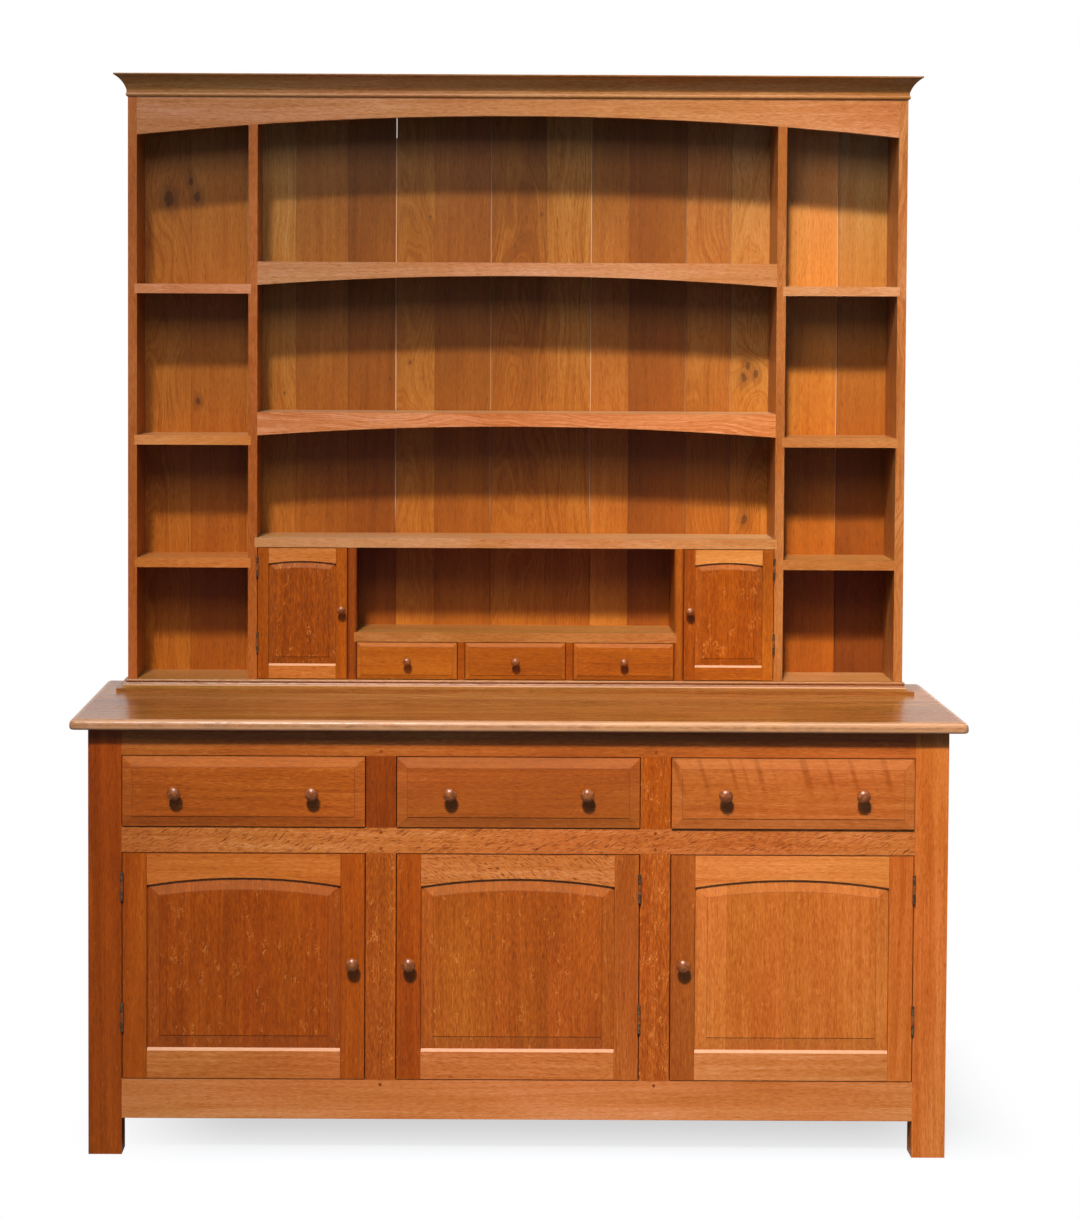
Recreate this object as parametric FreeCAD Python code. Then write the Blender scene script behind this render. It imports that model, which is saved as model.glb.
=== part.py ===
import FreeCAD, Part
import math
import os

os.makedirs("parts", exist_ok=True)

# Oak dresser: a base with three drawers over three cupboards, and an open rack on its worktop.
# Millimetres. X runs to the right, Y from the front to the back, Z up from the ground.
# Right and left are a viewer's, in front of the dresser.

# Worktop
worktop_width = 1685.0
worktop_depth = 500.0
worktop_thickness = 20.0
worktop_end_overhang = 32.5
worktop_front_overhang = 28.0
worktop_top_round = 10.0
worktop_under_round = 5.0
worktop_corner_round = 12.0

# Base frame
base_height = 811.0
foot_clearance = 69.5
leg_width = 63.0
leg_depth = 45.0
rail_thickness = 22.0
top_rail_height = 51.0
middle_rail_height = 48.5
bottom_rail_height = 75.0
drawer_opening_height = 135.5
muntin_width = 57.0
bay_count = 3
tenon_thickness = 8.0
tenon_length = 22.0
tenon_shoulder = 8.0
peg_radius = 3.0
peg_inset = 9.0
peg_proud = 0.4
peg_clearance = 0.05

# Base ends, back and inside
end_rail_height = 70.0
end_panel_thickness = 12.0
end_panel_tongue = 8.0
end_panel_recess = 5.0
back_rail_height = 60.0
back_board_thickness = 12.0
back_board_gap = 0.4
base_back_board_count = 14
board_thickness = 18.0
cupboard_shelf_setback = 52.0
cupboard_shelf_height = 228.0
bearer_size = 20.0
runner_height = 20.0
runner_bearing = 26.0
guide_height = 26.0

# Base drawers
drawer_gap = 1.6
drawer_front_thickness = 20.0
drawer_front_proud = 2.5
drawer_field_border = 20.0
drawer_bevel_rise = 3.2
drawer_field_step = 1.0
drawer_side_thickness = 12.0
drawer_side_drop = 10.0
drawer_bottom_thickness = 6.0
drawer_bottom_lift = 8.0
drawer_groove_depth = 5.0
drawer_back_space = 18.0
drawer_running_gap = 0.3
drawer_knob_spacing = 258.0
tail_count = 3
tail_lap = 6.0
tail_width_share = 0.55
tail_flare_share = 0.16
# How far each drawer stands out from fully shut
drawer_standing_out = [0.0, 0.0, 2.0]

# Doors of the base
door_gap = 1.5
door_thickness = 22.0
door_stile_width = 46.0
door_top_rail_height = 46.0
door_bottom_rail_height = 58.0
door_arch_rise = 15.0
door_rail_chamfer = 5.5
door_panel_recess = 5.0
door_field_step = 1.0
door_field_recess = 0.6
door_field_border = 24.0
door_tongue_thickness = 6.0
door_tongue_length = 8.0
door_tenon_length = 30.0
door_tenon_shoulder = 8.0
door_knob_lift = 8.0

# Hinges of the base doors
hinge_height = 52.0
hinge_barrel_radius = 3.0
hinge_leaf_width = 17.0
hinge_pin_radius = 1.3
hinge_upper_drop = 38.5
hinge_lower_lift = 92.5

# Knobs of the base
knob_radius = 13.0
knob_length = 27.0
knob_neck_radius = 5.5
knob_foot_radius = 8.5
# Outline of every knob, as shares of its length and of its radius
knob_foot_share = 0.11
knob_waist_share = 0.33
knob_head_shares = [(0.80, 0.52), (1.0, 0.68), (0.86, 0.84)]

# Rack carcass
rack_width = 1560.0
rack_depth = 139.0
rack_height = 1237.0
rack_board_thickness = 18.0
rack_floor_thickness = 24.0
centre_bay_width = 1041.0
housing_depth = 5.0
rebate_depth = 6.0
shelf_thickness = 19.0
rack_top_drop = 12.0
frieze_thickness = 18.0
frieze_crown_drop = 80.0
frieze_arch_rise = 40.0

# Rack shelves, heights of their tops above the worktop
side_shelf_heights = [268.0, 515.0, 819.0]
centre_shelf_heights = [562.0, 864.0]
cupboard_top_height = 309.5
pigeonhole_shelf_height = 119.5
apron_thickness = 18.0
apron_crown_height = 26.5
apron_arch_rise = 20.0

# Small cupboards and small drawers
upright_thickness = 18.0
pigeonhole_width = 640.0
divider_thickness = 14.0
small_drawer_count = 3
small_gap = 1.2
small_door_thickness = 18.0
small_stile_width = 22.5
small_top_rail_height = 26.5
small_bottom_rail_height = 30.5
small_arch_rise = 5.5
small_rail_chamfer = 4.5
small_panel_recess = 4.0
small_field_border = 14.0
small_tongue_thickness = 5.0
small_tongue_length = 6.0
small_tenon_length = 14.0
small_tenon_shoulder = 5.0
small_field_step = 0.8
small_field_recess = 0.6
small_knob_lift = 8.0
small_drawer_front_thickness = 14.0
small_drawer_front_proud = 1.5
small_drawer_field_border = 9.0
small_drawer_bevel_rise = 2.0
small_drawer_field_step = 0.6
small_drawer_side_thickness = 8.0
small_drawer_side_drop = 6.0
small_drawer_bottom_thickness = 4.0
small_drawer_bottom_lift = 4.0
small_drawer_groove_depth = 3.0
small_drawer_back_space = 8.0
small_tail_lap = 4.0
small_hinge_height = 40.0
small_hinge_barrel_radius = 2.4
small_hinge_leaf_width = 12.0
small_hinge_pin_radius = 1.0
small_hinge_upper_drop = 19.5
small_hinge_lower_lift = 55.0
small_knob_radius = 8.5
small_knob_length = 19.0
small_knob_neck_radius = 3.6
small_knob_foot_radius = 5.5

# Small parts of both kinds of hinge
hinge_leaf_thickness = 1.5
hinge_leaf_gap = 0.3
hinge_knuckle_gap = 0.2
hinge_face_gap = 0.3
hinge_pin_clearance = 0.05
hinge_pin_head = 0.8

# Mouldings
cornice_projection = 26.0
cornice_lip = 2.5
cornice_cove_height = 29.0
cornice_fillet_height = 5.5
cornice_fillet_projection = 2.5
cornice_bead_height = 8.0
cornice_bead_projection = 4.0
foot_mould_projection = 21.0
foot_mould_lip = 7.0
foot_mould_ledge = 2.0
foot_mould_bead = 5.0
foot_mould_quirk = 2.0
# Where the middle of a cove lies between its inner and outer edges, and between its foot and head
cove_middle_shares = (0.36, 0.57)
foot_cove_middle_shares = (0.30, 0.34)

# Back boards of the rack: seams from left to right as shares of the width between the sides
rack_seam_shares = [0.062, 0.136, 0.204, 0.274, 0.339, 0.391, 0.467,
                    0.541, 0.602, 0.653, 0.730, 0.790, 0.861, 0.934]
rack_board_gap = 0.4
board_tongue_thickness = 4.0
board_tongue_length = 5.0
# The boards have shrunk apart at these seams, and in one the tongue has broken off near the top
open_seam_gap = 1.3
open_seams = [4, 6, 8, 10, 11, 13]
broken_seam = 4
broken_tongue_drop = 104.0

# Running space that a sliding or swinging piece keeps, and how far cutting tools overrun
panel_clearance = 1.0
overrun = 5.0

# Levels of the base
bottom_rail_top = foot_clearance + bottom_rail_height
top_rail_bottom = base_height - top_rail_height
middle_rail_top = top_rail_bottom - drawer_opening_height
middle_rail_bottom = middle_rail_top - middle_rail_height
worktop_top = base_height + worktop_thickness

# Planes of the base. The furthest knob or the worktop is the front of the whole dresser.
base_depth = worktop_depth - worktop_front_overhang
drawer_field_rise = drawer_bevel_rise + drawer_field_step
knob_reach = drawer_front_proud + drawer_field_rise + knob_length + max(drawer_standing_out)
back = (base_depth + max(worktop_front_overhang, knob_reach)) / 2
face = back - base_depth
rail_back = face + rail_thickness
board_front = back - back_board_thickness
base_half = worktop_width / 2 - worktop_end_overhang
leg_inner = base_half - leg_width
end_inner = base_half - rail_thickness
bay_width = (2 * leg_inner - (bay_count - 1) * muntin_width) / bay_count
bay_lefts = [-leg_inner + bay * (bay_width + muntin_width) for bay in range(bay_count)]
muntin_lefts = [left + bay_width for left in bay_lefts[:-1]]
partition_centres = [left + muntin_width / 2 for left in muntin_lefts]

# Levels and planes of the rack
rack_top = worktop_top + rack_height
rack_floor_top = worktop_top + rack_floor_thickness
rack_side_top = rack_top - rack_top_drop
rack_face = back - rack_depth
rack_half = rack_width / 2
rack_inner = rack_half - rack_board_thickness
centre_half = centre_bay_width / 2
partition_outer = centre_half + rack_board_thickness
pigeonhole_half = pigeonhole_width / 2
upright_outer = pigeonhole_half + upright_thickness
cupboard_top_under = worktop_top + cupboard_top_height - shelf_thickness
pigeonhole_under = worktop_top + pigeonhole_shelf_height - shelf_thickness


def point(x, y, z):
    return FreeCAD.Vector(x, y, z)


def block(x0, x1, y0, y1, z0, z1):
    """A square-cut timber between two corners."""
    return Part.makeBox(x1 - x0, y1 - y0, z1 - z0, point(x0, y0, z0))


def joined(first, others):
    return first.fuse(others).removeSplitter().Solids[0]


def trimmed(piece, others):
    """The piece with its housings, mortises and notches for the others cut out."""
    return piece.cut(others).Solids[0]


def mirrored(pieces):
    """The same pieces on the other side of the centre line."""
    return [piece.mirror(point(0, 0, 0), point(1, 0, 0)) for piece in pieces]


def save(node, pieces):
    Part.makeCompound(pieces).exportStep("parts/" + node + ".step")


def straight_wire(points):
    return Part.makePolygon(points + points[:1])


def prism(points, travel):
    """A flat outline drawn out into a solid."""
    return Part.Face(straight_wire(points)).extrude(travel)


def rectangle_wire(left, right, low, high, y):
    return straight_wire([point(left, y, low), point(right, y, low), point(right, y, high), point(left, y, high)])


def arch_radius(half_chord, rise):
    return (half_chord ** 2 + rise ** 2) / (2 * rise)


def arched_wire(centre, half_width, low, crown, radius, y):
    """An outline with a level foot, upright sides and an arched head."""
    shoulder = crown - radius + math.sqrt(radius ** 2 - half_width ** 2)
    foot_left = point(centre - half_width, y, low)
    foot_right = point(centre + half_width, y, low)
    head_left = point(centre - half_width, y, shoulder)
    head_right = point(centre + half_width, y, shoulder)
    head = Part.Arc(head_right, point(centre, y, crown), head_left).toShape()
    lines = [(foot_left, foot_right), (foot_right, head_right), (head_left, foot_left)]
    sides = [Part.LineSegment(start, end).toShape() for start, end in lines]
    return Part.Wire([sides[0], sides[1], head, sides[2]])


def plate(wire, thickness):
    return Part.Face(wire).extrude(point(0, thickness, 0))


def arched_board(half_width, y0, y1, top, crown, rise):
    """A board with a level top and an arch cut in its lower edge."""
    blank = block(-half_width, half_width, y0, y1, crown - rise, top)
    radius = arch_radius(half_width, rise)
    wire = arched_wire(0, half_width, crown - rise - overrun, crown, radius, y0 - overrun)
    return trimmed(blank, [plate(wire, y1 - y0 + 2 * overrun)])


def turned_knob(x, y, z, radius, length, neck, foot):
    """A knob turned about a level axis, with a foot, a waist and a head that ends in a round dome."""
    shoulder, widest, brow = [point(share * radius, -depth_share * length, 0)
                              for share, depth_share in knob_head_shares]
    dome_radius = arch_radius(brow.x, length + brow.y)
    half_turn = math.asin(brow.x / dome_radius) / 2
    dome = point(dome_radius * math.sin(half_turn), dome_radius * (1 - math.cos(half_turn)) - length, 0)
    centre = point(0, 0, 0)
    rim = point(foot, 0, 0)
    rim_front = point(foot, -knob_foot_share * length, 0)
    waist = point(neck, -knob_waist_share * length, 0)
    tip = point(0, -length, 0)
    outline = [
        Part.LineSegment(centre, rim),
        Part.LineSegment(rim, rim_front),
        Part.Arc(rim_front, waist, shoulder),
        Part.Arc(shoulder, widest, brow),
        Part.Arc(brow, dome, tip),
        Part.LineSegment(tip, centre),
    ]
    half_section = Part.Face(Part.Wire([edge.toShape() for edge in outline]))
    knob = half_section.revolve(centre, point(0, 1, 0), 360)
    knob.translate(point(x, y, z))
    return knob


def large_knob(x, y, z):
    return turned_knob(x, y, z, knob_radius, knob_length, knob_neck_radius, knob_foot_radius)


def small_knob(x, y, z):
    return turned_knob(x, y, z, small_knob_radius, small_knob_length,
                       small_knob_neck_radius, small_knob_foot_radius)


def upright_rod(x, y, low, high, radius):
    return Part.makeCylinder(radius, high - low, point(x, y, low))


def hinge_leaf(x, front, low, sizes, side, knuckles):
    """One leaf of a butt hinge, with its knuckles round the pin in front of the door."""
    pin_y = front - sizes["barrel"] - hinge_face_gap
    edges = [x + side * hinge_leaf_gap / 2, x + side * (hinge_leaf_gap / 2 + hinge_leaf_thickness)]
    leaf = block(min(edges), max(edges), front, front + sizes["leaf_width"], low, low + sizes["height"])
    additions = []
    for knuckle_low, knuckle_high in knuckles:
        additions.append(block(min(edges), max(edges), pin_y, front, knuckle_low, knuckle_high))
        additions.append(upright_rod(x, pin_y, knuckle_low, knuckle_high, sizes["barrel"]))
    bore = sizes["pin"] + hinge_pin_clearance
    return trimmed(joined(leaf, additions), [upright_rod(x, pin_y, low, low + sizes["height"], bore)])


def hinge(x, front, low, sizes, door_side):
    """A butt hinge: the frame's leaf, the door's leaf and the pin through both."""
    high = low + sizes["height"]
    lower_joint = low + sizes["height"] / 3
    upper_joint = high - sizes["height"] / 3
    frame_leaf = hinge_leaf(x, front, low, sizes, -door_side, [(low, lower_joint), (upper_joint, high)])
    door_leaf = hinge_leaf(x, front, low, sizes, door_side,
                           [(lower_joint + hinge_knuckle_gap, upper_joint - hinge_knuckle_gap)])
    pin_y = front - sizes["barrel"] - hinge_face_gap
    shank = upright_rod(x, pin_y, low - hinge_pin_head, high + hinge_pin_head, sizes["pin"])
    heads = [upright_rod(x, pin_y, low - hinge_pin_head, low, sizes["barrel"]),
             upright_rod(x, pin_y, high, high + hinge_pin_head, sizes["barrel"])]
    return frame_leaf, door_leaf, joined(shank, heads)


def framed_door(left, right, low, high, front, sizes):
    """Two stiles, an arched top rail, a bottom rail and the raised panel held in their grooves."""
    inner_left = left + sizes["stile"]
    inner_right = right - sizes["stile"]
    centre = (left + right) / 2
    half = (inner_right - inner_left) / 2
    rear = front + sizes["thickness"]
    sill = low + sizes["bottom_rail"]
    crown = high - sizes["top_rail"]
    radius = arch_radius(half, sizes["arch_rise"])
    panel_front = front + sizes["recess"]
    tongue = sizes["tongue_thickness"]
    groove_depth = sizes["tongue_length"] + panel_clearance

    def outline(growth, y):
        return arched_wire(centre, half + growth, sill - growth, crown + growth, radius + growth, y)

    groove = plate(outline(groove_depth, panel_front), tongue)
    tenon_left = inner_left - sizes["tenon_length"]
    tenon_right = inner_right + sizes["tenon_length"]
    tenon_back = panel_front + tongue
    top_tenon = block(tenon_left, tenon_right, panel_front, tenon_back,
                      crown + groove_depth, high - sizes["tenon_shoulder"])
    bottom_tenon = block(tenon_left, tenon_right, panel_front, tenon_back,
                         low + sizes["tenon_shoulder"], sill - groove_depth)

    opening = plate(outline(0, front - overrun), sizes["thickness"] + 2 * overrun)
    top_blank = block(inner_left, inner_right, front, rear, crown - sizes["arch_rise"], high)
    top_rail = trimmed(joined(trimmed(top_blank, [opening]), [top_tenon]), [groove])
    bottom_blank = prism([point(inner_left, front, low), point(inner_left, front, sill - sizes["chamfer"]),
                          point(inner_left, front + sizes["chamfer"], sill), point(inner_left, rear, sill),
                          point(inner_left, rear, low)], point(inner_right - inner_left, 0, 0))
    bottom_rail = trimmed(joined(bottom_blank, [bottom_tenon]), [groove])
    mortises = [groove, top_tenon, bottom_tenon]
    left_stile = trimmed(block(left, inner_left, front, rear, low, high), mortises)
    right_stile = trimmed(block(inner_right, right, front, rear, low, high), mortises)

    field_front = front + sizes["field_recess"]
    field_foot = field_front + sizes["field_step"]
    border = sizes["border"]
    tongue_plate = plate(outline(sizes["tongue_length"], panel_front), tongue)
    bevel = Part.makeLoft([outline(0, panel_front), outline(-border, field_foot)], True, True)
    field = plate(outline(-border, field_front), sizes["field_step"])
    panel = joined(tongue_plate, [bevel, field])
    return [left_stile, right_stile, top_rail, bottom_rail], panel


def fielded_front(left, right, low, high, front, sizes):
    """A drawer front whose field stands out from a bevelled border."""
    border = sizes["border"]
    bevel_front = front - sizes["bevel_rise"]
    body = block(left, right, front, front + sizes["front_thickness"], low, high)
    bevel = Part.makeLoft([rectangle_wire(left, right, low, high, front),
                           rectangle_wire(left + border, right - border, low + border, high - border,
                                          bevel_front)], True, True)
    field = block(left + border, right - border, bevel_front - sizes["field_step"], bevel_front,
                  low + border, high - border)
    return joined(body, [bevel, field])


def tails(left, right, narrow_y, wide_y, low, high):
    """Dovetails that widen from narrow_y to wide_y, spread over the height of a drawer side."""
    pitch = (high - low) / tail_count
    half = pitch * tail_width_share / 2
    flare = abs(wide_y - narrow_y) * tail_flare_share
    solids = []
    for index in range(tail_count):
        middle = low + pitch * (index + 1 / 2)
        outline = [point(left, narrow_y, middle - half), point(left, wide_y, middle - half - flare),
                   point(left, wide_y, middle + half + flare), point(left, narrow_y, middle + half)]
        solids.append(prism(outline, point(right - left, 0, 0)))
    return solids


def drawer(left, right, low, high, front, rear, sizes):
    """A drawer in its opening: the fielded front, and two sides, a back and a bottom."""
    gap = sizes["gap"]
    wall = sizes["side_thickness"]
    left_edge = left + gap
    right_edge = right - gap
    front_board = fielded_front(left_edge, right_edge, low + gap, high - gap, front, sizes)
    box_front = front + sizes["front_thickness"]
    side_low = low + drawer_running_gap
    side_high = high - sizes["side_drop"]
    sides = []
    for x0, x1 in [(left_edge, left_edge + wall), (right_edge - wall, right_edge)]:
        side = block(x0, x1, box_front, rear, side_low, side_high)
        sides.append(joined(side, tails(x0, x1, box_front, front + sizes["tail_lap"],
                                        low + gap, side_high)))
    bottom_low = side_low + sizes["bottom_lift"]
    groove = sizes["groove_depth"]
    bottom = block(left_edge + wall - groove, right_edge - wall + groove, box_front - groove, rear,
                   bottom_low, bottom_low + sizes["bottom_thickness"])
    back_board = block(left_edge + wall, right_edge - wall, rear - wall, rear,
                       bottom_low + sizes["bottom_thickness"], side_high)
    front_board = trimmed(front_board, sides + [bottom])
    return front_board, [trimmed(side, [bottom]) for side in sides] + [back_board, bottom]


def worktop():
    """The base's top board, with rounded corners and a rounded edge at its front and ends."""
    half = worktop_width / 2
    front = back - worktop_depth
    board = block(-half, half, front, back, base_height, worktop_top)
    upright_edges = [edge for edge in board.Edges if edge.BoundBox.ZLength > worktop_thickness / 2]
    board = board.makeFillet(worktop_corner_round, upright_edges)
    back_line = back - worktop_corner_round / 2
    for level, radius in [(worktop_top, worktop_top_round), (base_height, worktop_under_round)]:
        rim = [edge for edge in board.Edges if edge.BoundBox.ZLength < worktop_thickness / 4
               and abs(edge.CenterOfMass.z - level) < worktop_thickness / 4 and edge.CenterOfMass.y < back_line]
        board = board.makeFillet(radius, rim)
    return board


def rail(z0, z1):
    """A rail across the front of the base, with a tenon into each front leg."""
    body = block(-leg_inner, leg_inner, face, rail_back, z0, z1)
    tenon_front = face + (rail_thickness - tenon_thickness) / 2
    reach = leg_inner + tenon_length
    tenon = block(-reach, reach, tenon_front, tenon_front + tenon_thickness,
                  z0 + tenon_shoulder, z1 - tenon_shoulder)
    return joined(body, [tenon])


def muntin(left, z0, z1):
    """An upright between two rails, with a tenon into each."""
    body = block(left, left + muntin_width, face, rail_back, z0, z1)
    tenon_front = face + (rail_thickness - tenon_thickness) / 2
    tenon = block(left + tenon_shoulder, left + muntin_width - tenon_shoulder,
                  tenon_front, tenon_front + tenon_thickness, z0 - tenon_length, z1 + tenon_length)
    return joined(body, [tenon])


def pegs(radius, front):
    """The pegs that pin the muntins' tenons in the rails."""
    levels = [top_rail_bottom + peg_inset, middle_rail_top - peg_inset,
              middle_rail_bottom + peg_inset, bottom_rail_top - peg_inset]
    return [Part.makeCylinder(radius, rail_back - front, point(centre, front, level), point(0, 1, 0))
            for centre in partition_centres for level in levels]


def legs():
    posts = []
    for left, right in [(-base_half, -leg_inner), (leg_inner, base_half)]:
        posts.append(block(left, right, face, face + leg_depth, 0, base_height))
        posts.append(block(left, right, back - leg_depth, back, 0, base_height))
    return posts


def end_frame():
    """Rails and panels of both ends, between the front and back legs."""
    rails = []
    panels = []
    front = face + leg_depth
    rear = back - leg_depth
    bottom_top = foot_clearance + end_rail_height
    top_bottom = base_height - end_rail_height
    for z0, z1 in [(foot_clearance, bottom_top), (top_bottom, base_height)]:
        body = block(end_inner, base_half, front, rear, z0, z1)
        tenon = block(end_inner + tenon_shoulder, base_half - tenon_shoulder, front - tenon_length,
                      rear + tenon_length, z0 + tenon_shoulder, z1 - tenon_shoulder)
        rails.append(joined(body, [tenon]))
    outer = base_half - end_panel_recess
    panels.append(block(outer - end_panel_thickness, outer, front - end_panel_tongue, rear + end_panel_tongue,
                        bottom_top - end_panel_tongue, top_bottom + end_panel_tongue))
    rails = [trimmed(piece, panels) for piece in rails]
    return mirrored(rails) + rails, mirrored(panels) + panels


def back_rails():
    """Rails across the back of the base, in front of its boards."""
    front = board_front - rail_thickness
    return [block(-leg_inner, leg_inner, front, board_front, foot_clearance, foot_clearance + back_rail_height),
            block(-leg_inner, leg_inner, front, board_front, base_height - back_rail_height, base_height)]


def base_back_boards():
    width = 2 * leg_inner / base_back_board_count
    boards = []
    for index in range(base_back_board_count):
        left = -leg_inner + index * width
        boards.append(block(left + back_board_gap / 2, left + width - back_board_gap / 2,
                            board_front, back, foot_clearance, base_height))
    return boards


def bay_walls(bay):
    """The faces between which a bay's inside lies, behind the face frame."""
    left = -end_inner if bay == 0 else partition_centres[bay - 1] + board_thickness / 2
    right = end_inner if bay == bay_count - 1 else partition_centres[bay] - board_thickness / 2
    return left, right


def base_inside(posts, rear_rails):
    """The floor, the partitions, a shelf in each cupboard and the bearers and runners."""
    rear_face = board_front - rail_thickness
    floor_board = trimmed(block(-end_inner, end_inner, rail_back, rear_face,
                                bottom_rail_top - board_thickness, bottom_rail_top), posts)
    partitions = [trimmed(block(centre - board_thickness / 2, centre + board_thickness / 2,
                                rail_back, board_front, bottom_rail_top, base_height), rear_rails)
                  for centre in partition_centres]
    shelves = []
    bearers = []
    runners = []
    shelf_top = bottom_rail_top + cupboard_shelf_height
    shelf_under = shelf_top - board_thickness
    bearer_front = face + leg_depth
    bearer_back = back - leg_depth
    for bay, opening_left in enumerate(bay_lefts):
        left, right = bay_walls(bay)
        shelf = block(left, right, face + cupboard_shelf_setback, board_front, shelf_under, shelf_top)
        shelves.append(trimmed(shelf, posts))
        for x0, x1 in [(left, left + bearer_size), (right - bearer_size, right)]:
            bearers.append(block(x0, x1, bearer_front, bearer_back, shelf_under - bearer_size, shelf_under))
        opening_right = opening_left + bay_width
        for x0, x1 in [(left, opening_left + runner_bearing), (opening_right - runner_bearing, right)]:
            runners.append(block(x0, x1, rail_back, board_front, middle_rail_top - runner_height, middle_rail_top))
        for x0, x1 in [(left, opening_left), (opening_right, right)]:
            runners.append(block(x0, x1, rail_back, board_front, middle_rail_top, middle_rail_top + guide_height))
    runners = [trimmed(piece, posts) for piece in runners]
    return floor_board, partitions, shelves, bearers, runners


base_drawer_sizes = {
    "gap": drawer_gap, "front_thickness": drawer_front_thickness, "border": drawer_field_border,
    "bevel_rise": drawer_bevel_rise, "field_step": drawer_field_step,
    "side_thickness": drawer_side_thickness, "side_drop": drawer_side_drop,
    "bottom_thickness": drawer_bottom_thickness, "bottom_lift": drawer_bottom_lift,
    "groove_depth": drawer_groove_depth, "tail_lap": tail_lap,
}
small_drawer_sizes = {
    "gap": small_gap, "front_thickness": small_drawer_front_thickness, "border": small_drawer_field_border,
    "bevel_rise": small_drawer_bevel_rise, "field_step": small_drawer_field_step,
    "side_thickness": small_drawer_side_thickness, "side_drop": small_drawer_side_drop,
    "bottom_thickness": small_drawer_bottom_thickness, "bottom_lift": small_drawer_bottom_lift,
    "groove_depth": small_drawer_groove_depth, "tail_lap": small_tail_lap,
}
base_door_sizes = {
    "thickness": door_thickness, "stile": door_stile_width, "top_rail": door_top_rail_height,
    "bottom_rail": door_bottom_rail_height, "arch_rise": door_arch_rise, "chamfer": door_rail_chamfer,
    "recess": door_panel_recess, "field_step": door_field_step, "field_recess": door_field_recess,
    "border": door_field_border, "tongue_thickness": door_tongue_thickness,
    "tongue_length": door_tongue_length, "tenon_length": door_tenon_length,
    "tenon_shoulder": door_tenon_shoulder,
}
small_door_sizes = {
    "thickness": small_door_thickness, "stile": small_stile_width, "top_rail": small_top_rail_height,
    "bottom_rail": small_bottom_rail_height, "arch_rise": small_arch_rise, "chamfer": small_rail_chamfer,
    "recess": small_panel_recess, "field_step": small_field_step, "field_recess": small_field_recess,
    "border": small_field_border, "tongue_thickness": small_tongue_thickness,
    "tongue_length": small_tongue_length, "tenon_length": small_tenon_length,
    "tenon_shoulder": small_tenon_shoulder,
}
base_hinge_sizes = {"height": hinge_height, "barrel": hinge_barrel_radius,
                    "leaf_width": hinge_leaf_width, "pin": hinge_pin_radius,
                    "lift": hinge_lower_lift, "drop": hinge_upper_drop}
small_hinge_sizes = {"height": small_hinge_height, "barrel": small_hinge_barrel_radius,
                     "leaf_width": small_hinge_leaf_width, "pin": small_hinge_pin_radius,
                     "lift": small_hinge_lower_lift, "drop": small_hinge_upper_drop}


def hung_door(left, right, low, high, front, gap, sizes, hinge_sizes, door_side):
    """A framed door in its opening with its two hinges. door_side is 1 if it hangs by its left edge."""
    frame, panel = framed_door(left + gap, right - gap, low + gap, high - gap, front, sizes)
    pin_x = left + gap / 2 if door_side > 0 else right - gap / 2
    hinge_lows = [low + hinge_sizes["lift"], high - hinge_sizes["drop"] - hinge_sizes["height"]]
    hinges = [hinge(pin_x, front, hinge_low, hinge_sizes, door_side) for hinge_low in hinge_lows]
    frame_leaves = [parts[0] for parts in hinges]
    door_leaves = [parts[1] for parts in hinges]
    pins = [parts[2] for parts in hinges]
    hanging = 0 if door_side > 0 else 1
    frame[hanging] = trimmed(frame[hanging], door_leaves)
    return frame, panel, frame_leaves, door_leaves, pins


def base_doors():
    """Saves the three cupboard doors and returns the frame's leaves and the pins."""
    frame_leaves = []
    pins = []
    middle = (bottom_rail_top + middle_rail_bottom) / 2
    for bay, left in enumerate(bay_lefts):
        door_side = 1 if bay == 0 else -1
        right = left + bay_width
        frame, panel, leaves, door_leaves, door_pins = hung_door(
            left, right, bottom_rail_top, middle_rail_bottom, face, door_gap, base_door_sizes,
            base_hinge_sizes, door_side)
        inset = door_gap + door_stile_width / 2
        knob_x = right - inset if door_side > 0 else left + inset
        fittings = door_leaves + [large_knob(knob_x, face, middle + door_knob_lift)]
        name = "door_%d" % (bay + 1)
        save(name + "_frame", frame)
        save(name + "_panel", [panel])
        save(name + "_knob_and_hinges", fittings)
        frame_leaves += leaves
        pins += door_pins
    return frame_leaves, pins


def small_doors():
    """Saves the rack's two small doors and returns the frame's leaves and the pins."""
    frame_leaves = []
    pins = []
    middle = (rack_floor_top + cupboard_top_under) / 2
    for name, left, right, door_side in [("left", -centre_half, -upright_outer, 1),
                                         ("right", upright_outer, centre_half, -1)]:
        frame, panel, leaves, door_leaves, door_pins = hung_door(
            left, right, rack_floor_top, cupboard_top_under, rack_face, small_gap, small_door_sizes,
            small_hinge_sizes, door_side)
        inset = small_gap + small_stile_width / 2
        knob_x = right - inset if door_side > 0 else left + inset
        fittings = door_leaves + [small_knob(knob_x, rack_face, middle + small_knob_lift)]
        save("small_door_" + name, frame + [panel])
        save("small_door_" + name + "_knob_and_hinges", fittings)
        frame_leaves += leaves
        pins += door_pins
    return frame_leaves, pins


def base_drawers():
    for bay, left in enumerate(bay_lefts):
        front = face - drawer_front_proud - drawer_standing_out[bay]
        rear = board_front - drawer_back_space - drawer_standing_out[bay]
        front_board, box = drawer(left, left + bay_width, middle_rail_top, top_rail_bottom,
                                  front, rear, base_drawer_sizes)
        field_front = front - drawer_field_rise
        centre = left + bay_width / 2
        level = (middle_rail_top + top_rail_bottom) / 2
        knobs = [large_knob(centre + side * drawer_knob_spacing / 2, field_front, level) for side in [-1, 1]]
        name = "drawer_%d" % (bay + 1)
        save(name + "_front", [front_board])
        save(name + "_box", box)
        save(name + "_knobs", knobs)


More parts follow.
